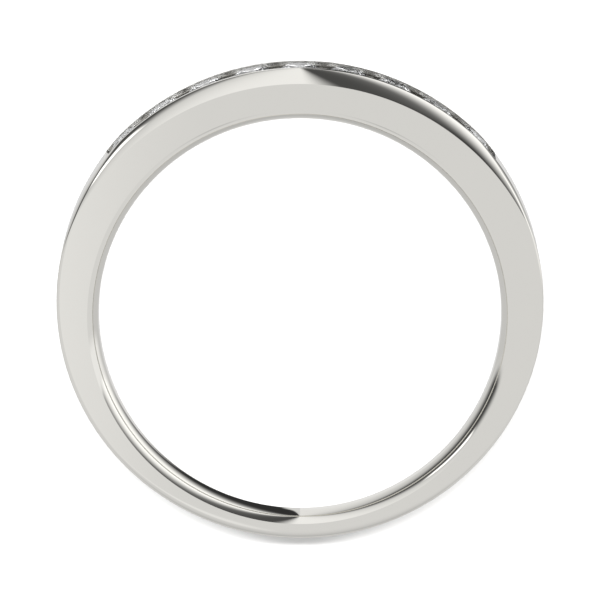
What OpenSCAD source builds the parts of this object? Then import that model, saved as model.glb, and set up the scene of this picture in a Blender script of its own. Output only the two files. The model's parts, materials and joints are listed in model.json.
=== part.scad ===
// Channel set wedding band, lying on its side.
// Z is the finger's axis, the row of stones is at +Y, and the origin is the middle of the finger hole.

/* [Finger hole] */
// Inside diameter of the band, which sets the ring size
bore_d = 17.3; // [16.5:0.1:18]
// How far the inside edge of each side face lies back from the hole
inside_ease = 0.46; // [0.4:0.02:0.5]
// How far the rounding of that edge reaches across the inside
inside_reach = 0.65; // [0.62:0.01:0.68]
// Angle between the hole's wall and the start of that rounding
inside_start = 8; // [8:1:12]

/* [Band] */
// Wall thickness at the row of stones
head_t = 2.22; // [2.18:0.02:2.28]
// Wall thickness at both sides of the finger
side_t = 1.75; // [1.7:0.01:1.78]
// Wall thickness at the base, opposite the stones
base_t = 1.12; // [1.02:0.02:1.2]
// Width of the band at the row of stones
head_w = 2.74; // [2.7:0.02:2.9]
// Width of the band at the base
base_w = 1.7; // [1.64:0.02:1.8]
// Radius of the softened outer edges
edge_r = 0.12; // [0.06:0.02:0.16]

/* [Shoulders] */
// Height of the rounded shoulder at the middle of the row
shoulder_h = 0.61; // [0.58:0.01:0.62]
// Width of the rounded shoulder at the middle of the row
shoulder_w = 0.45; // [0.42:0.01:0.48]
// Angle from the middle of the row at which the shoulder has run out
shoulder_end = 72; // [68:1:75]
// Angle between the side face and the start of the shoulder
shoulder_start = 24; // [20:1:26]

/* [Channel and stones] */
// Diameter of each round stone
stone_d = 1.9; // [1.84:0.02:1.92]
// Diameter of the flat table on top of a stone
table_d = 1.02; // [0.96:0.02:1.08]
// Gap between the girdles of two neighbouring stones
stone_gap = 0.14; // [0.1:0.02:0.16]
// Width of the open channel between the rails
channel_w = 1.6; // [1.56:0.02:1.64]
// Clearance between a stone and its seat
seat_gap = 0.03; // [0.02:0.01:0.04]

/* [Hidden] */
NODES = ["band", "stone_1", "stone_2", "stone_3", "stone_4", "stone_5", "stone_6", "stone_7",
         "stone_8", "stone_9"];
stone_count = len(NODES) - 1;
$fn = 96;

// The outside of the shank is a circle whose centre lies towards the stones.
bore_r = bore_d / 2;
head_r = bore_r + head_t;
base_r = bore_r + base_t;
side_r = bore_r + side_t;
shank_r = (base_r + side_r * side_r / base_r) / 2;
shank_shift = shank_r - base_r;

// Both side faces are planes, closer together at the base than at the stones.
taper = atan((head_w - base_w) / 2 / (head_r + base_r));
face_z = base_w / 2 + base_r * tan(taper);

// The inside is a cylindrical strip with a rounding on each side of it.
inside_finish = 2 * atan(inside_ease / inside_reach) - inside_start;
inside_r = arc_radius(inside_ease, inside_reach, inside_finish - inside_start);

// The shoulder starts along a circle in the side face, whose centre lies towards the base.
crease_head_r = head_r - shoulder_h;
crease_end_r = shank_outside(shoulder_end);
crease_shift = (crease_end_r * crease_end_r - crease_head_r * crease_head_r)
             / (2 * (crease_head_r - crease_end_r * cos(shoulder_end)));
crease_r = crease_head_r + crease_shift;
shoulder_finish = 2 * atan(shoulder_w / shoulder_h) - shoulder_start;
shoulder_r = arc_radius(shoulder_w, shoulder_h, shoulder_finish - shoulder_start);

// Proportions of a round brilliant, as shares of its radius
crown_share = 0.3;
girdle_share = 0.06;
pavilion_share = 0.86;
star_share = 0.5;
half_share = 0.77;
culet_share = 0.02;
stone_r = stone_d / 2;
crown_h = stone_r * crown_share;
girdle_h = stone_r * girdle_share;
pavilion_h = stone_r * pavilion_share;

// Tables lie level with the rails, and girdles tuck under them.
table_drop = 0.01;
girdle_top_r = head_r - table_drop - crown_h;
girdle_low_r = girdle_top_r - girdle_h;
girdle_mid_r = girdle_top_r - girdle_h / 2;
pitch = 2 * asin((stone_d + stone_gap) / 2 / girdle_mid_r);
row_half = (stone_count - 1) / 2 * pitch;
end_gap = 0.08;
channel_half = row_half + asin((stone_r + end_gap) / girdle_low_r);

// The channel's walls hold each girdle in a groove, above a slot that clears the points.
groove_w = stone_d + 2 * seat_gap;
crown_slope = crown_h / (stone_r - table_d / 2);
pavilion_slope = pavilion_h / stone_r;
slot_w = 1.2;
slot_floor_r = girdle_low_r - pavilion_h - 0.1;

// How far the full rounding of an outer edge would stand proud of the outside
edge_lead = 0.015;

// Room that a cutting shape reaches past the metal
past = 1;

// Radius of an arc that turns by an angle while it goes a certain way along and across
function arc_radius(along, across, turn) = norm([along, across]) / (2 * sin(turn / 2));

// Distance from the finger's axis to the outside of the shank, at an angle from the stones
function shank_outside(angle) =
    shank_shift * cos(angle) + sqrt(pow(shank_r, 2) - pow(shank_shift * sin(angle), 2));

// A ring of points of a stone: how many, their radius, their height and their first angle
function ring_points(count, radius, height, first) =
    [for (i = [0 : count - 1])
        [radius * cos(first + i * 360 / count), radius * sin(first + i * 360 / count), height]];

// Sets its children on the upper side face, whose plane is then z = 0 with the metal below
module on_face() {
    translate([0, 0, face_z]) rotate([taper, 0, 0]) children();
}

// Repeats its children on the other side of the band
module both_sides() {
    children();
    mirror([0, 0, 1]) children();
}

// Metal between the two side faces, with square edges
module blank() {
    length = 2 * (past + face_z);
    difference() {
        intersection() {
            translate([0, shank_shift, -length / 2]) cylinder(r = shank_r, h = length, $fn = 180);
            translate([0, 0, -length / 2]) cylinder(r = head_r, h = length, $fn = 180);
        }
        translate([0, 0, -length / 2]) cylinder(r = bore_r, h = length, $fn = 180);
        both_sides() on_face()
            translate([-2 * head_r, -2 * head_r, 0])
                cube([4 * head_r, 4 * head_r, 3 * past]);
    }
}

// Rounding along the inside edge of one side face
module inside_rounding() {
    centre = [bore_r + inside_r * cos(inside_start), -inside_reach - inside_r * sin(inside_start)];
    on_face() rotate_extrude($fn = 180) difference() {
        translate([bore_r - past, centre.y]) square([centre.x - bore_r + past, past - centre.y]);
        translate(centre) circle(r = inside_r);
    }
}

// Rounded shoulder between one side face and its rail
module shoulder() {
    on_face() translate([0, -crease_shift, 0]) rotate_extrude($fn = 180)
        translate([crease_r - shoulder_r * sin(shoulder_start),
                   -shoulder_r * cos(shoulder_start)])
            difference() {
                square([shoulder_r + past, shoulder_r + past]);
                circle(r = shoulder_r);
            }
}

// Softened outer edge of one side face, which meets the outside at a slight angle
module outer_edge() {
    on_face() translate([0, shank_shift, 0]) rotate_extrude($fn = 180)
        translate([shank_r + edge_lead - edge_r, -edge_r]) difference() {
            square([edge_r + past, edge_r + past]);
            circle(r = edge_r, $fn = 48);
        }
}

// Half of the channel's cross section: distance from the finger's axis, then from the middle
function channel_side(side) = [
    [slot_floor_r, side * slot_w / 2],
    [girdle_low_r - seat_gap - (groove_w - slot_w) / 2 * pavilion_slope, side * slot_w / 2],
    [girdle_low_r - seat_gap, side * groove_w / 2],
    [girdle_top_r + seat_gap, side * groove_w / 2],
    [girdle_top_r + seat_gap + (groove_w - channel_w) / 2 * crown_slope, side * channel_w / 2],
    [head_r + past, side * channel_w / 2]];

// Space between the rails that the row of stones fills
module channel() {
    low = channel_side(-1);
    high = channel_side(1);
    rotate([0, 0, 90 - channel_half])
        rotate_extrude(angle = 2 * channel_half, $fn = 180)
            polygon(concat(low, [for (i = [len(high) - 1 : -1 : 0]) high[i]]));
}

// The band, with both rails of the channel, is one casting.
module band() {
    color("gainsboro") difference() {
        blank();
        both_sides() {
            inside_rounding();
            shoulder();
            outer_edge();
        }
        channel();
    }
}

// Round brilliant with its table up, and the top of its girdle at z = 0
module brilliant() {
    table_r = table_d / 2;
    star_r = stone_r * star_share + table_r * cos(22.5) * (1 - star_share);
    star_z = crown_h * (stone_r - star_r * cos(22.5)) / (stone_r - table_r);
    culet_r = stone_r * culet_share;
    half_r = stone_r * (1 - half_share);
    half_z = -girdle_h - pavilion_h * (stone_r - half_r * cos(22.5)) / (stone_r - culet_r);
    culet_z = -girdle_h - pavilion_h;
    points = concat(
        ring_points(8, table_r, crown_h, 0),
        ring_points(8, star_r, star_z, 22.5),
        ring_points(16, stone_r, 0, 0),
        ring_points(16, stone_r, -girdle_h, 0),
        ring_points(8, half_r, half_z, 22.5),
        ring_points(8, culet_r, culet_z, 0));
    star = 8;
    girdle = 16;
    under = 32;
    half = 48;
    culet = 56;
    around = [0 : 7];
    faces = concat(
        [[for (i = around) 7 - i]],
        [for (i = around) [i, (i + 1) % 8, star + i]],
        [for (i = around) [i, star + i, girdle + 2 * i, star + (i + 7) % 8]],
        [for (i = around) [star + i, girdle + 2 * i + 1, girdle + 2 * i]],
        [for (i = around) [star + i, girdle + (2 * i + 2) % 16, girdle + 2 * i + 1]],
        [for (i = [0 : 15]) [girdle + i, girdle + (i + 1) % 16, under + (i + 1) % 16, under + i]],
        [for (i = around) [half + i, under + 2 * i, under + 2 * i + 1]],
        [for (i = around) [half + i, under + 2 * i + 1, under + (2 * i + 2) % 16]],
        [for (i = around) [culet + i, half + (i + 7) % 8, under + 2 * i, half + i]],
        [for (i = around) [culet + i, half + i, culet + (i + 1) % 8]],
        [[for (i = around) culet + i]]);
    polyhedron(points, faces);
}

// One stone of the row, counted from the -X end
module stone(number) {
    angle = (number - 1) * pitch - row_half;
    color("white") rotate([0, 0, -angle])
        translate([0, girdle_top_r, 0]) rotate([-90, 0, 0]) brilliant();
}

band();
stone(1);  // stone_1
stone(2);  // stone_2
stone(3);  // stone_3
stone(4);  // stone_4
stone(5);  // stone_5
stone(6);  // stone_6
stone(7);  // stone_7
stone(8);  // stone_8
stone(9);  // stone_9
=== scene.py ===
"""Channel set wedding band in polished white gold, lying on its side on a pale table."""
import json
import logging
import math
from dataclasses import dataclass, field
from enum import Enum

import bmesh
import bpy
import numpy as np
from mathutils import Matrix, Vector


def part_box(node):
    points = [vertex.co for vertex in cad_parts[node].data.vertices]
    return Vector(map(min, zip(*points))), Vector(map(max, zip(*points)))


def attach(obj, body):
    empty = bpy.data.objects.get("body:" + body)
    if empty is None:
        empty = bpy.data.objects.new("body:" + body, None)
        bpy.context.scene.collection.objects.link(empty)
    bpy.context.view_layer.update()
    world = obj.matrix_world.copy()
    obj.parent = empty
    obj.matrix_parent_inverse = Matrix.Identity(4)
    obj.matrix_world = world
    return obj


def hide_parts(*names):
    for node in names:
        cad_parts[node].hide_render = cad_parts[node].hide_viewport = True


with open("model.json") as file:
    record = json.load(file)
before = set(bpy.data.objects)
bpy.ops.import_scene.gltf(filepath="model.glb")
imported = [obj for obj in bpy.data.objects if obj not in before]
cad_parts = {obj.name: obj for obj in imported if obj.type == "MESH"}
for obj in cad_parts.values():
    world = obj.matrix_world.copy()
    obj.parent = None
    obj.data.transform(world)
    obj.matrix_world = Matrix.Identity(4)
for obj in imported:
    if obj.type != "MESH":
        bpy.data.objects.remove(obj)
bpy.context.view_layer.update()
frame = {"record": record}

MM = 0.001
# Points closer than this are merged.
MERGED = 1e-8
# Most of a noise's values lie between these two.
NOISE_LOW, NOISE_HIGH = 0.3, 0.7
LOG = logging.getLogger("wedding_band")


def mount(name: str) -> dict:
    """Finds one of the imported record's mounts.

    Args:
        name: The mount's name.

    Returns:
        The mount, with its place in metres and its dimensions in millimetres.
    """
    return next(m for m in frame["record"]["mounts"] if m["name"] == name)


def new_object(name: str, mesh: bpy.types.Mesh) -> bpy.types.Object:
    """Links a mesh into the scene as an object at the origin.

    Args:
        name: The object's name.
        mesh: Its mesh, already in place.

    Returns:
        The new object.
    """
    piece = bpy.data.objects.new(name, mesh)
    bpy.context.scene.collection.objects.link(piece)
    return piece


class Graph:
    """A node tree that is being wired up."""

    def __init__(self, tree: bpy.types.NodeTree) -> None:
        """Takes over a tree and clears it."""
        self.tree = tree
        tree.nodes.clear()

    def add(self, kind: str, inputs: dict | None = None, **settings: object) -> bpy.types.Node:
        """Adds a node.

        Args:
            kind: The node's type.
            inputs: For each socket, by name or number, the value it holds or the socket that feeds it.
            settings: Properties of the node.

        Returns:
            The node.
        """
        node = self.tree.nodes.new(kind)
        for name, value in settings.items():
            setattr(node, name, value)
        for socket, value in (inputs or {}).items():
            if isinstance(value, bpy.types.NodeSocket):
                self.tree.links.new(value, node.inputs[socket])
            else:
                node.inputs[socket].default_value = value
        return node

    def sum_up(self, operation: str, *terms: object) -> bpy.types.NodeSocket:
        """Works out one sum of numbers.

        Args:
            operation: The Math node's operation.
            terms: Numbers or sockets, in order.

        Returns:
            The socket with the result.
        """
        return self.add("ShaderNodeMath", dict(enumerate(terms)), operation=operation).outputs[0]


@dataclass(frozen=True)
class Finish:
    """A finish of metal or stone, and how it varies over the surface.

    Attributes:
        name: The finish's name.
        colour: Its colour.
        second_colour: The colour it drifts to in patches.
        roughness: Least and most roughness.
        patch: Size of the patches.
        grain: Size of the finest marks.
        relief: Height of the marks.
        metallic: 1 for metal and 0 for stone.
        ior: Refractive index.
        clear: How much light passes through, from 0 to 1.
    """

    name: str
    colour: tuple[float, float, float]
    second_colour: tuple[float, float, float]
    roughness: tuple[float, float]
    patch: float
    grain: float
    relief: float
    metallic: float = 1.0
    ior: float = 1.5
    clear: float = 0.0

    def material(self) -> bpy.types.Material:
        """Makes the finish's material.

        Returns:
            The material.
        """
        made = bpy.data.materials.new(self.name)
        made.use_nodes = True
        graph = Graph(made.node_tree)
        place = graph.add("ShaderNodeTexCoord").outputs["Object"]
        patches = graph.add("ShaderNodeTexNoise", {"Vector": place, "Scale": 1 / self.patch, "Detail": 3.0})
        marks = graph.add("ShaderNodeTexNoise", {"Vector": place, "Scale": 1 / self.grain, "Detail": 2.0})
        colour = graph.add("ShaderNodeMix", {"Factor": patches.outputs[0], 6: (*self.colour, 1.0),
                                             7: (*self.second_colour, 1.0)}, data_type="RGBA")
        rough = graph.add("ShaderNodeMapRange", {
            "Value": marks.outputs[0], "From Min": NOISE_LOW, "From Max": NOISE_HIGH,
            "To Min": self.roughness[0], "To Max": self.roughness[1]})
        bump = graph.add("ShaderNodeBump", {"Height": marks.outputs[0], "Distance": self.relief,
                                            "Strength": 1.0})
        shader = graph.add("ShaderNodeBsdfPrincipled", {
            "Base Color": colour.outputs[2], "Metallic": self.metallic, "Roughness": rough.outputs[0],
            "IOR": self.ior, "Transmission Weight": self.clear, "Normal": bump.outputs[0]})
        graph.add("ShaderNodeOutputMaterial", {"Surface": shader.outputs[0]})
        return made


POLISHED_GOLD = Finish("polished_white_gold", (0.905, 0.89, 0.845), (0.885, 0.872, 0.83), (0.02, 0.045),
                       patch=2.5 * MM, grain=0.05 * MM, relief=0.00001 * MM)
CHANNEL_GOLD = Finish("cast_white_gold", (0.84, 0.83, 0.8), (0.76, 0.75, 0.72), (0.18, 0.35),
                      patch=0.4 * MM, grain=0.03 * MM, relief=0.0004 * MM)
DIAMOND = Finish("clear_brilliant", (1.0, 1.0, 1.0), (0.97, 0.985, 1.0), (0.0, 0.004),
                 patch=0.5 * MM, grain=0.1 * MM, relief=0.000001 * MM, metallic=0.0, ior=2.42, clear=0.93)


class Region(Enum):
    """Parts of the band's surface that are finished differently. The value is the material's index."""

    POLISHED = 0
    CHANNEL = 1


@dataclass(frozen=True)
class Row:
    """One run of points along a half section, between two edges of the band.

    Attributes:
        points: Distance from the finger's axis and height above the middle, a row for each point.
        region: How the surface that the run makes is finished.
        crisp: Whether the edge at the run's start stays crisp at this section.
    """

    points: np.ndarray
    region: Region = Region.POLISHED
    crisp: bool = False


def arc(start: tuple[float, float], end: tuple[float, float], lean: float, count: int) -> np.ndarray:
    """Points along an arc of a section, without its end.

    Args:
        start: Distance from the finger's axis and height of its start.
        end: The same of its end.
        lean: Angle between the arc's start and the finger's axis.
        count: How many points.

    Returns:
        The points, a row for each.
    """
    chord = np.subtract(end, start)
    half_swing = math.atan2(chord[0], chord[1]) - lean
    if abs(half_swing) < 1e-6:
        return np.add(start, np.outer(np.linspace(0, 1, count + 1)[:-1], chord))
    radius = math.hypot(*chord) / (2 * math.sin(half_swing))
    angles = lean + np.linspace(0, 2 * half_swing, count + 1)[:-1]
    return np.column_stack([start[0] + radius * (math.cos(lean) - np.cos(angles)),
                            start[1] + radius * (np.sin(angles) - math.sin(lean))])


@dataclass
class Channel:
    """The channel that holds the row of stones.

    Attributes:
        stones: How many stones it holds.
        stone_r: Radius of a stone's girdle.
        opening: Half the width between the rails.
        slot: Half the width of the slot under the girdles.
        seat: Half the width of the groove that holds the girdles.
        girdle_low_r: Distance of the girdles' lower edge from the finger's axis.
        girdle_top_r: Distance of their upper edge.
        floor_r: Distance of the slot's floor.
        crown_slope: Height that the groove's upper wall gains for each unit across.
        pavilion_slope: The same for its lower wall.
        clearance: Gap between a girdle and its groove.
        end_gap: Gap between the last girdle and the channel's end.
        stone_gap: Gap between two neighbouring girdles.
    """

    stones: int = 9
    stone_r: float = 0.95 * MM
    opening: float = 0.8 * MM
    slot: float = 0.6 * MM
    seat: float = 0.98 * MM
    girdle_low_r: float = 10.518 * MM
    girdle_top_r: float = 10.575 * MM
    floor_r: float = 9.601 * MM
    crown_slope: float = 0.65
    pavilion_slope: float = 0.86
    clearance: float = 0.03 * MM
    end_gap: float = 0.08 * MM
    stone_gap: float = 0.14 * MM

    @property
    def pitch(self) -> float:
        """Angle from one stone to the next."""
        middle = (self.girdle_low_r + self.girdle_top_r) / 2
        return 2 * math.asin((self.stone_r + self.stone_gap / 2) / middle)

    @property
    def half_turn(self) -> float:
        """Angle from the middle of the row to the channel's end."""
        last = (self.stones - 1) / 2 * self.pitch
        return last + math.asin((self.stone_r + self.end_gap) / self.girdle_low_r)


@dataclass
class Band:
    """The cast band: shank, side faces, shoulders and the rails of the channel.

    Attributes:
        channel: The channel cut into it.
        bore_r: Radius of the finger hole.
        head_r: Distance of the rails' tops from the finger's axis.
        base_r: Distance of the outside at the base.
        shank_r: Radius of the shank's outside, whose centre lies towards the stones.
        taper: Angle between a side face and the plane square to the axis.
        face_z: Height of a side face on the axis.
        inside_ease: How far the side face's inner edge lies back from the finger hole.
        inside_reach: How far the rounding of that edge reaches down into the hole.
        shoulder_h: Height of the rounded shoulder at the middle of the row.
        shoulder_w: Its width there.
        shoulder_start: Angle between the side face and the shoulder's start.
        crease_shift: How far the centre of the crease's circle lies towards the base.
        edge_turns: Angles from the middle of the row at which the softened outer edge is given.
        edge_breadths: Its breadth on the side face at each of them.
        edge_depths: Its depth on the outside at each of them.
        border: Breadth of the narrow borders of the side face, which keep its shading flat.
        face_margin: Room that the side face leaves for the softened edge, as a share of its breadth.
        wall_share: Where the plain outside starts, as a share of the height at which that edge ends.
        inside_steps: How many points the inside rounding has.
        shoulder_steps: How many points a shoulder has.
        edge_steps: How many points the softened outer edge has.
        sections: How many sections go round the band.
    """

    channel: Channel
    bore_r: float = mount("finger_bore")["dims"]["r_mm"] * MM
    head_r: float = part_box("band")[1].y
    base_r: float = -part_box("band")[0].y
    shank_r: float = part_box("band")[1].x
    taper: float = -math.asin(mount("stack_face")["axis"][1])
    face_z: float = mount("stack_face")["pos_m"][2]
    inside_ease: float = 0.46 * MM
    inside_reach: float = 0.765 * MM
    shoulder_h: float = 0.61 * MM
    shoulder_w: float = 0.45 * MM
    shoulder_start: float = math.radians(24)
    crease_shift: float = 0.507 * MM
    edge_turns: tuple[float, ...] = tuple(math.radians(turn) for turn in (44, 54, 66, 78, 125, 162))
    edge_breadths: tuple[float, ...] = tuple(size * MM for size in (0.03, 0.12, 0.12, 0.12, 0.18, 0.42))
    edge_depths: tuple[float, ...] = tuple(size * MM for size in (0.03, 0.3, 0.3, 0.12, 0.12, 0.12))
    border: float = 0.02 * MM
    face_margin: float = 1.05
    wall_share: float = 0.97
    inside_steps: int = 26
    shoulder_steps: int = 22
    edge_steps: int = 16
    sections: int = 540

    def outside(self, turn: float) -> float:
        """Distance from the finger's axis to the outside at an angle from the middle of the row."""
        shift = self.shank_r - self.base_r
        shank = shift * math.cos(turn) + math.sqrt(self.shank_r ** 2 - (shift * math.sin(turn)) ** 2)
        return min(self.head_r, shank)

    def crease(self, turn: float) -> float:
        """Distance from the finger's axis to the crease where a shoulder starts."""
        radius = self.head_r - self.shoulder_h + self.crease_shift
        across = self.crease_shift * math.sin(turn)
        return math.sqrt(radius ** 2 - across ** 2) - self.crease_shift * math.cos(turn)

    def face_height(self, distance: np.ndarray, turn: float) -> np.ndarray:
        """Height of the upper side face above the band's middle."""
        return self.face_z + distance * math.cos(turn) * math.tan(self.taper)

    def inside_rows(self, turn: float) -> list[Row]:
        """The finger hole's straight strip and the comfortable rounding up to the side face."""
        edge_r = self.bore_r + self.inside_ease
        edge_z = self.face_height(edge_r, turn)
        return [Row(np.array([[self.bore_r, 0.0]])),
                Row(arc((self.bore_r, edge_z - self.inside_reach), (edge_r, edge_z), 0.0,
                        self.inside_steps))]

    def face_rows(self, turn: float) -> list[Row]:
        """The flat side face, with a narrow border along both its edges."""
        inner, outer = self.bore_r + self.inside_ease, self.face_end(turn)
        distances = np.array([inner, inner + self.border, (inner + outer) / 2, outer - self.border])
        return [Row(np.column_stack([distances, self.face_height(distances, turn)]), crisp=True)]

    def edge(self, turn: float) -> tuple[float, float]:
        """Breadth and depth of the softened outer edge, which is finest along the rails."""
        turned = abs(math.remainder(turn, 2 * math.pi))
        return (float(np.interp(turned, self.edge_turns, self.edge_breadths)),
                float(np.interp(turned, self.edge_turns, self.edge_depths)))

    def face_end(self, turn: float) -> float:
        """Distance from the finger's axis to where the side face ends."""
        return min(self.crease(turn), self.outside(turn) - self.face_margin * self.edge(turn)[0])

    def sunk(self, past: np.ndarray, height: float) -> np.ndarray:
        """How deep a shoulder lies below the side face.

        Args:
            past: Distances beyond the crease.
            height: Height of the shoulder at this section.

        Returns:
            The depth at each distance.
        """
        half_swing = math.atan2(self.shoulder_w, self.shoulder_h) - self.shoulder_start
        scale = height / self.shoulder_h
        radius = math.hypot(self.shoulder_w, self.shoulder_h) / (2 * math.sin(half_swing)) * scale
        across = np.maximum(past, 0) + radius * math.sin(self.shoulder_start)
        return radius * math.cos(self.shoulder_start) - np.sqrt(radius ** 2 - across ** 2)

    def shoulder_rows(self, turn: float) -> list[Row]:
        """The rounded shoulder and the softened edge, which goes on alone along the shank."""
        crease, outside = self.crease(turn), self.outside(turn)
        breadth, depth = self.edge(turn)
        begin, edge = self.face_end(turn), outside - breadth
        distances = np.concatenate([
            begin + (edge - begin) * np.sin(np.linspace(0, math.pi / 2, self.shoulder_steps))[:-1],
            edge + breadth * np.sin(np.linspace(0, math.pi / 2, self.edge_steps))])
        along = np.clip((distances - edge) / breadth, 0, 1)
        drop = depth * (1 - np.sqrt(1 - along ** 2))
        if crease < outside:
            drop += self.sunk(distances - crease, outside - crease)
        return [Row(np.column_stack([distances, self.face_height(distances, turn) - drop]),
                    crisp=crease < outside - breadth)]

    def outside_rows(self, turn: float, cut: bool, top: float) -> list[Row]:
        """The rail and the channel, or the plain outside of the shank.

        Args:
            turn: Angle from the middle of the row.
            cut: Whether the channel is cut at this section.
            top: Height at which the softened edge above has ended.

        Returns:
            The runs of points, down to the middle of the band.
        """
        c = self.channel
        outside = self.outside(turn)
        walls = np.array([
            [outside, c.opening],
            [c.girdle_top_r + c.clearance + (c.seat - c.opening) * c.crown_slope, c.opening],
            [c.girdle_top_r + c.clearance, c.seat],
            [c.girdle_low_r - c.clearance, c.seat],
            [c.girdle_low_r - c.clearance - (c.seat - c.slot) * c.pavilion_slope, c.slot],
            [c.floor_r, c.slot],
            [c.floor_r, 0.0]])
        if not cut:
            walls[:, 0] = outside
            walls[:, 1] = top * np.linspace(self.wall_share, 0, len(walls))
        region = Region.CHANNEL if cut else Region.POLISHED
        return [Row(walls[k:k + 1], region, crisp=cut) for k in range(len(walls))]

    def half_section(self, turn: float, cut: bool) -> list[Row]:
        """All runs of points from the inside's middle over the upper side face to the outside's middle."""
        upper = self.inside_rows(turn) + self.face_rows(turn) + self.shoulder_rows(turn)
        return upper + self.outside_rows(turn, cut, upper[-1].points[-1, 1])

    def turns(self) -> list[tuple[float, bool]]:
        """Angles of all sections, and whether the channel is cut there. Both ends have a pair."""
        end = self.channel.half_turn
        cut_count = round(self.sections * end / math.pi)
        cut = [(t, True) for t in np.linspace(-end, end, cut_count + 1)]
        plain = [(t, False) for t in np.linspace(end, 2 * math.pi - end, self.sections - cut_count + 1)]
        return cut + plain

    def build(self) -> bpy.types.Object:
        """Lofts the sections into one closed mesh.

        Returns:
            The band.
        """
        rings, crisp, regions = [], [], []
        for turn, cut in self.turns():
            rows = self.half_section(turn, cut)
            half = np.concatenate([row.points for row in rows])
            marks = [k == 0 and row.crisp for row in rows for k in range(len(row.points))]
            spans = [row.region.value for row in rows for _ in row.points]
            outline = np.concatenate([half, half[-2:0:-1] * (1, -1)])
            rings.append(np.column_stack([outline[:, 0] * math.sin(turn), outline[:, 0] * math.cos(turn),
                                          outline[:, 1]]))
            crisp.append(marks + marks[-2:0:-1])
            regions.append(spans[:-1] + spans[-2::-1])
        return self.loft(rings, crisp, regions)

    def loft(self, rings: list[np.ndarray], crisp: list[list[bool]],
             regions: list[list[int]]) -> bpy.types.Object:
        """Joins rings of points into a closed surface.

        Args:
            rings: The points of each section.
            crisp: For each section, which of its points lie on a crisp edge.
            regions: For each section, the material index of the span after each point.

        Returns:
            The object.
        """
        made = bmesh.new()
        grid = [[made.verts.new(point) for point in ring] for ring in rings]
        size = len(rings[0])
        for i, ring in enumerate(grid):
            following = grid[(i + 1) % len(grid)]
            flags = [a and b for a, b in zip(crisp[i], crisp[(i + 1) % len(grid)])]
            for k in range(size):
                after = (k + 1) % size
                face = made.faces.new((ring[k], following[k], following[after], ring[after]))
                face.smooth = True
                face.material_index = max(regions[i][k], regions[(i + 1) % len(grid)][k])
            for k in range(size):
                if flags[k]:
                    made.edges.get((ring[k], following[k])).smooth = False
        bmesh.ops.remove_doubles(made, verts=made.verts, dist=MERGED)
        bmesh.ops.dissolve_degenerate(made, edges=made.edges, dist=MERGED)
        bmesh.ops.recalc_face_normals(made, faces=made.faces)
        mesh = bpy.data.meshes.new("wedding_band")
        made.to_mesh(mesh)
        made.free()
        return new_object("wedding_band", mesh)

    def dress(self, band: bpy.types.Object) -> None:
        """Gives the band its finishes, and ties it to the model.

        Args:
            band: The finished mesh.
        """
        finishes = {Region.POLISHED: POLISHED_GOLD, Region.CHANNEL: CHANNEL_GOLD}
        for region in Region:
            band.data.materials.append(finishes[region].material())
        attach(band, "root")
        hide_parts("band")


@dataclass
class Brilliant:
    """A round brilliant cut stone, with its table up and the top of its girdle at zero height.

    Attributes:
        radius: Radius of the girdle.
        table_r: Radius of the table.
        crown_h: Height of the crown.
        girdle_h: Height of the girdle.
        pavilion_h: Depth of the pavilion.
        star_share: How far the star facets reach from the table to the girdle.
        half_share: How far the lower halves reach from the girdle to the culet.
        culet_r: Radius of the culet.
    """

    radius: float = 0.95 * MM
    table_r: float = 0.51 * MM
    crown_h: float = 0.285 * MM
    girdle_h: float = 0.057 * MM
    pavilion_h: float = 0.817 * MM
    star_share: float = 0.5
    half_share: float = 0.77
    culet_r: float = 0.019 * MM

    def ring(self, count: int, radius: float, height: float, first: float = 0.0) -> list[Vector]:
        """Points of one ring, from a first angle on."""
        angles = [first + 2 * math.pi * k / count for k in range(count)]
        return [Vector((radius * math.cos(a), radius * math.sin(a), height)) for a in angles]

    def mesh(self) -> bpy.types.Mesh:
        """Makes the stone as the hull of its facets' corners, with flat facets.

        Returns:
            The mesh.
        """
        turn = math.pi / 8
        lean = math.cos(turn)
        star_r = self.radius * self.star_share + self.table_r * lean * (1 - self.star_share)
        star_z = self.crown_h * (self.radius - star_r * lean) / (self.radius - self.table_r)
        half_r = self.radius * (1 - self.half_share)
        half_sunk = self.pavilion_h * (self.radius - half_r * lean) / (self.radius - self.culet_r)
        half_z = -self.girdle_h - half_sunk
        made = bmesh.new()
        corners = (self.ring(8, self.table_r, self.crown_h) + self.ring(8, star_r, star_z, turn)
                   + self.ring(16, self.radius, 0.0) + self.ring(16, self.radius, -self.girdle_h)
                   + self.ring(8, half_r, half_z, turn)
                   + self.ring(8, self.culet_r, -self.girdle_h - self.pavilion_h))
        for corner in corners:
            made.verts.new(corner / MM)
        bmesh.ops.convex_hull(made, input=made.verts)
        bmesh.ops.scale(made, vec=(MM, MM, MM), verts=made.verts)
        bmesh.ops.recalc_face_normals(made, faces=made.faces)
        mesh = bpy.data.meshes.new("brilliant")
        made.to_mesh(mesh)
        made.free()
        return mesh


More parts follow.
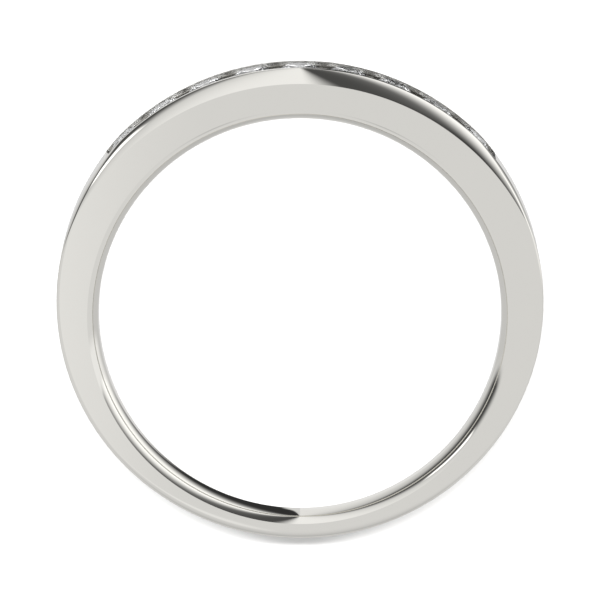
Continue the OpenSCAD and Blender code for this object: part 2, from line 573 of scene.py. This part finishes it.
@dataclass
class StoneRow:
    """The row of brilliants in the channel, repeated along its arc by geometry nodes.

    Attributes:
        channel: The channel that holds them.
        stone: The stone that is repeated.
        loose_turn: Most that a stone is turned about its own axis, as they are set by hand.
        seed: Seed of those turns.
    """

    channel: Channel
    stone: Brilliant = field(default_factory=Brilliant)
    loose_turn: float = math.radians(20)
    seed: int = 7

    def tree(self, finish: bpy.types.Material) -> bpy.types.NodeTree:
        """Builds the node group that repeats a stone along an arc.

        Args:
            finish: The material that the row gets.

        Returns:
            The node group, with its sizes as named inputs.
        """
        group = bpy.data.node_groups.new("stone_row", "GeometryNodeTree")
        face = group.interface
        face.new_socket("Stone", in_out="INPUT", socket_type="NodeSocketGeometry")
        face.new_socket("Count", in_out="INPUT", socket_type="NodeSocketInt")
        for name in ("Pitch", "Girdle Distance", "Loose Turn"):
            face.new_socket(name, in_out="INPUT", socket_type="NodeSocketFloat")
        face.new_socket("Seed", in_out="INPUT", socket_type="NodeSocketInt")
        face.new_socket("Row", in_out="OUTPUT", socket_type="NodeSocketGeometry")
        graph = Graph(group)
        given = graph.add("NodeGroupInput").outputs
        line = graph.add("GeometryNodeMeshLine", {"Count": given["Count"]})
        index = graph.add("GeometryNodeInputIndex").outputs[0]
        last = graph.sum_up("SUBTRACT", given["Count"], 1.0)
        middle = graph.sum_up("DIVIDE", last, 2.0)
        angle = graph.sum_up("MULTIPLY", graph.sum_up("SUBTRACT", index, middle), given["Pitch"])
        across = graph.sum_up("MULTIPLY", graph.sum_up("SINE", angle), given["Girdle Distance"])
        along = graph.sum_up("MULTIPLY", graph.sum_up("COSINE", angle), given["Girdle Distance"])
        place = graph.add("ShaderNodeCombineXYZ", {0: across, 1: along})
        points = graph.add("GeometryNodeSetPosition", {"Geometry": line.outputs[0],
                                                       "Position": place.outputs[0]})
        aim = graph.add("ShaderNodeCombineXYZ", {0: -math.pi / 2,
                                                 2: graph.sum_up("MULTIPLY", angle, -1.0)})
        stones = graph.add("GeometryNodeInstanceOnPoints", {"Points": points.outputs[0],
                                                            "Instance": given["Stone"],
                                                            "Rotation": aim.outputs[0]})
        least = graph.sum_up("MULTIPLY", given["Loose Turn"], -1.0)
        chance = graph.add("FunctionNodeRandomValue", {2: least, 3: given["Loose Turn"], "ID": index,
                                                       "Seed": given["Seed"]}, data_type="FLOAT")
        twist = graph.add("ShaderNodeCombineXYZ", {2: chance.outputs[1]})
        turned = graph.add("GeometryNodeRotateInstances", {"Instances": stones.outputs[0],
                                                           "Rotation": twist.outputs[0]})
        real = graph.add("GeometryNodeRealizeInstances", {"Geometry": turned.outputs[0]})
        dressed = graph.add("GeometryNodeSetMaterial", {"Geometry": real.outputs[0], "Material": finish})
        graph.add("NodeGroupOutput", {"Row": dressed.outputs[0]})
        return group

    def build(self) -> bpy.types.Object:
        """Repeats the stone along the channel and turns the row into a plain mesh.

        Returns:
            The row of stones.
        """
        holder = new_object("stone_pattern", self.stone.mesh())
        group = self.tree(DIAMOND.material())
        row = holder.modifiers.new("row", "NODES")
        row.node_group = group
        sizes = {"Count": self.channel.stones, "Pitch": self.channel.pitch, "Seed": self.seed,
                 "Girdle Distance": self.channel.girdle_top_r, "Loose Turn": self.loose_turn}
        for item in group.interface.items_tree:
            if item.in_out == "INPUT" and item.name in sizes:
                row[item.identifier] = sizes[item.name]
        view = bpy.context.evaluated_depsgraph_get()
        mesh = bpy.data.meshes.new_from_object(holder.evaluated_get(view))
        bpy.data.objects.remove(holder)
        mesh.name = "stone_row"
        return new_object("stone_row", mesh)

    def dress(self, row: bpy.types.Object) -> None:
        """Ties the row to the model, in place of the plain stones.

        Args:
            row: The finished mesh.
        """
        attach(row, "root")
        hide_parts(*[f"stone_{k}" for k in range(1, self.channel.stones + 1)])


@dataclass(frozen=True)
class Side:
    """One soft side of a panel.

    Attributes:
        angle: Where the panel is at half strength, in degrees.
        soft: Over how many degrees it fades.
    """

    angle: float
    soft: float = 4.0


@dataclass(frozen=True)
class Panel:
    """A white or black panel or a soft lamp round the object, which the metal mirrors.

    Its sides are placed by angle round the +Y axis, from the camera's side towards +X, and by height
    above the plane that is square to that axis. A side that is left out lies out of reach.

    Attributes:
        name: What it is.
        brightness: How bright it looks, with 1 for white.
        first: Its side at the smaller angle.
        last: Its side at the larger angle.
        low: Its lower side.
        high: Its upper side.
    """

    name: str
    brightness: float
    first: Side | None = None
    last: Side | None = None
    low: Side | None = None
    high: Side | None = None


PANELS = (
    Panel("front light", 1.03, Side(-37.5, 90), Side(83, 360)),
    Panel("rear light at the left", 0.84, None, Side(-155, 49)),
    Panel("dim gap at the left", 0.06, Side(-119, 37), Side(-67, 31)),
    Panel("black flag in front", 0.071, Side(5.8, 10.7), Side(86, 144)),
    Panel("darkest part of that flag", 0.03, Side(5.8, 10.7), Side(60, 60), None, Side(28, 20)),
    Panel("white panel at the right", 1.22, Side(64, 53), Side(137, 131)),
    Panel("black flag behind", 0.031, Side(135, 58), Side(178, 1.5)),
    Panel("small lamp", 1.5, Side(-72, 4), Side(-61, 4), Side(20, 5), Side(40, 7)),
    Panel("table top", 0.72, None, None, None, Side(1.6, 10)),
    Panel("table behind at the left", 0.6, Side(-163, 8), Side(-95, 10), None, Side(0, 8)),
    Panel("table behind at the right", 0.6, Side(95, 10), Side(163, 8), None, Side(0, 8)),
    # The two table panels under the band and near its base are darker than the table top: painted shadow of
    # the band on the table, which the metal mirrors.
    Panel("table under the band in painted shade", 0.5, None, None, None, Side(-52, 60)),
    Panel("table in front", 0.72, Side(-95, 10), Side(95, 10), None, Side(1.6, 10)),
    Panel("table near the base in painted shade", 0.5, Side(-45, 20), Side(45, 20), Side(-66, 8), Side(-42, 40)),
    Panel("white edge of the table", 0.9, Side(46, 10), Side(120, 30), Side(-8, 6), Side(3.5, 4)),
    Panel("bright end of the table", 0.85, Side(-6, 4), Side(-1.9, 2.2), Side(-30, 10), Side(0, 10)),
)


@dataclass
class Studio:
    """The studio: a tent with cards that the metal mirrors, a pale table, a soft light and the camera.

    Attributes:
        band: The band, which lies on the table.
        tent: Brightness of the tent.
        sparkle: Least and most brightness of the small lights that shine through the stones.
        sparkle_scale: How finely they are strewn.
        sparkle_range: Values of the noise between which their brightness rises.
        panels: What hangs in it, from the furthest to the nearest.
        table_tone: Colour of the table.
        table_r: Radius of the table.
        table_gap: Gap between the band and the table.
        lamp_size: Length and breadth of the bar of light.
        lamp_watts: Its power.
        lamp_place: Where it hangs.
        look_down: Angle of the camera from the finger's axis towards the stones.
        camera_distance: Distance of the camera.
        view_width: Width of the view at the object.
        view_centre: Point that the middle of the picture shows.
    """

    band: Band
    tent: float = 0.6
    sparkle: tuple[float, float] = (0.35, 2.4)
    sparkle_scale: float = 2.6
    sparkle_range: tuple[float, float] = (0.4, 0.48)
    panels: tuple[Panel, ...] = PANELS
    table_tone: tuple[float, float, float] = (0.9, 0.9, 0.895)
    table_r: float = 1.5
    table_gap: float = 0.005 * MM
    lamp_size: tuple[float, float] = (0.12, 0.012)
    lamp_watts: float = 0.09
    lamp_place: tuple[float, float, float] = (0.0, 0.018, 0.055)
    look_down: float = math.radians(12.23)
    camera_distance: float = 0.25
    view_width: float = 25.79 * MM
    view_centre: tuple[float, float, float] = (0.0, 0.572 * MM, -0.124 * MM)

    def build_world(self) -> None:
        """Paints the tent and its panels by direction. The camera itself sees plain white."""
        world = bpy.data.worlds.new("studio")
        world.use_nodes = True
        bpy.context.scene.world = world
        graph = Graph(world.node_tree)
        way = graph.add("ShaderNodeTexCoord").outputs["Generated"]
        unit = graph.add("ShaderNodeVectorMath", {0: way}, operation="NORMALIZE").outputs[0]
        parts = graph.add("ShaderNodeSeparateXYZ", {0: unit}).outputs
        angle = graph.sum_up("DEGREES", graph.sum_up("ARCTAN2", parts["X"], parts["Z"]))
        height = graph.sum_up("DEGREES", graph.sum_up("ARCSINE", parts["Y"]))
        tone = self.tent
        for panel in self.panels:
            cover = 1.0
            sides = ((angle, panel.first, 1), (angle, panel.last, -1), (height, panel.low, 1),
                     (height, panel.high, -1))
            for value, side, sense in sides:
                if side is None:
                    continue
                fade = graph.add("ShaderNodeMapRange", {
                    "Value": value, "From Min": side.angle - sense * side.soft / 2,
                    "From Max": side.angle + sense * side.soft / 2}, interpolation_type="SMOOTHSTEP")
                cover = graph.sum_up("MULTIPLY", fade.outputs[0], cover)
            tone = graph.add("ShaderNodeMix", {0: cover, 2: tone, 3: panel.brightness}).outputs[0]
        rays = graph.add("ShaderNodeLightPath").outputs
        spots = graph.add("ShaderNodeTexNoise", {"Vector": unit, "Scale": self.sparkle_scale,
                                                 "Detail": 0.0})
        sparkle = graph.add("ShaderNodeMapRange", {
            "Value": spots.outputs[0], "From Min": self.sparkle_range[0],
            "From Max": self.sparkle_range[1], "To Min": self.sparkle[0], "To Max": self.sparkle[1]})
        tone = graph.add("ShaderNodeMix", {0: rays["Is Transmission Ray"], 2: tone,
                                           3: sparkle.outputs[0]}).outputs[0]
        mirrored = graph.add("ShaderNodeBackground", {"Color": tone})
        plain = graph.add("ShaderNodeBackground", {"Color": (1.0, 1.0, 1.0, 1.0)})
        shown = graph.add("ShaderNodeMixShader", {0: rays["Is Camera Ray"], 1: mirrored.outputs[0],
                                                  2: plain.outputs[0]})
        graph.add("ShaderNodeOutputWorld", {"Surface": shown.outputs[0]})

    def build_table(self) -> bpy.types.Object:
        """Makes the table, flush with the side face that the band lies on.

        The metal doesn't mirror it, but the tent, which has a table painted in, with the band's shadow
        painted onto that table near the band.

        Returns:
            The table.
        """
        made = bmesh.new()
        bmesh.ops.create_circle(made, cap_ends=True, radius=self.table_r, segments=64)
        lean = Matrix.Rotation(-self.band.taper, 4, "X")
        drop = Matrix.Translation((0, 0, -self.band.face_z - self.table_gap))
        bmesh.ops.transform(made, matrix=drop @ lean, verts=made.verts)
        mesh = bpy.data.meshes.new("table")
        made.to_mesh(mesh)
        made.free()
        table = new_object("table", mesh)
        finish = Finish("pale_table", self.table_tone, self.table_tone, (0.6, 0.7),
                        patch=20 * MM, grain=0.5 * MM, relief=0.0, metallic=0.0)
        table.data.materials.append(finish.material())
        table.visible_glossy = False
        table.visible_transmission = False
        return table

    def build_light(self) -> bpy.types.Object:
        """Hangs a soft bar of light close above the stones' end of the hole.

        The metal doesn't mirror it. The band's shadow falls outwards, mostly below its base, and the
        hole stays clear.

        Returns:
            The light.
        """
        lamp = bpy.data.lights.new("soft_light", "AREA")
        lamp.shape = "RECTANGLE"
        lamp.size, lamp.size_y = self.lamp_size
        lamp.energy = self.lamp_watts
        light = bpy.data.objects.new("soft_light", lamp)
        light.location = self.lamp_place
        light.visible_camera = False
        light.visible_glossy = False
        light.visible_transmission = False
        bpy.context.scene.collection.objects.link(light)
        return light

    def build_camera(self) -> bpy.types.Object:
        """Sets up the camera, which looks down nearly along the finger's axis.

        Returns:
            The camera.
        """
        data = bpy.data.cameras.new("camera")
        data.lens = data.sensor_width * self.camera_distance / self.view_width
        camera = bpy.data.objects.new("camera", data)
        back = Vector((0.0, math.sin(self.look_down), math.cos(self.look_down)))
        camera.location = Vector(self.view_centre) + back * self.camera_distance
        camera.rotation_euler = (-self.look_down, 0.0, 0.0)
        bpy.context.scene.collection.objects.link(camera)
        bpy.context.scene.camera = camera
        return camera

    def build(self) -> list[bpy.types.Object]:
        """Builds the whole studio.

        Returns:
            Its objects.
        """
        bpy.context.scene.view_settings.view_transform = "Standard"
        self.build_world()
        return [self.build_table(), self.build_light(), self.build_camera()]


def main() -> None:
    """Builds and dresses each piece in order."""
    channel = Channel()
    band = Band(channel)
    stones = StoneRow(channel)
    for sub_assembly in (band, stones):
        piece = sub_assembly.build()
        sub_assembly.dress(piece)
        LOG.info("%s: %d faces", piece.name, len(piece.data.polygons))
    for thing in Studio(band).build():
        LOG.info("%s: %s", thing.name, thing.type.lower())


if __name__ == "__main__":
    logging.basicConfig(level=logging.INFO, format="%(message)s")
    main()
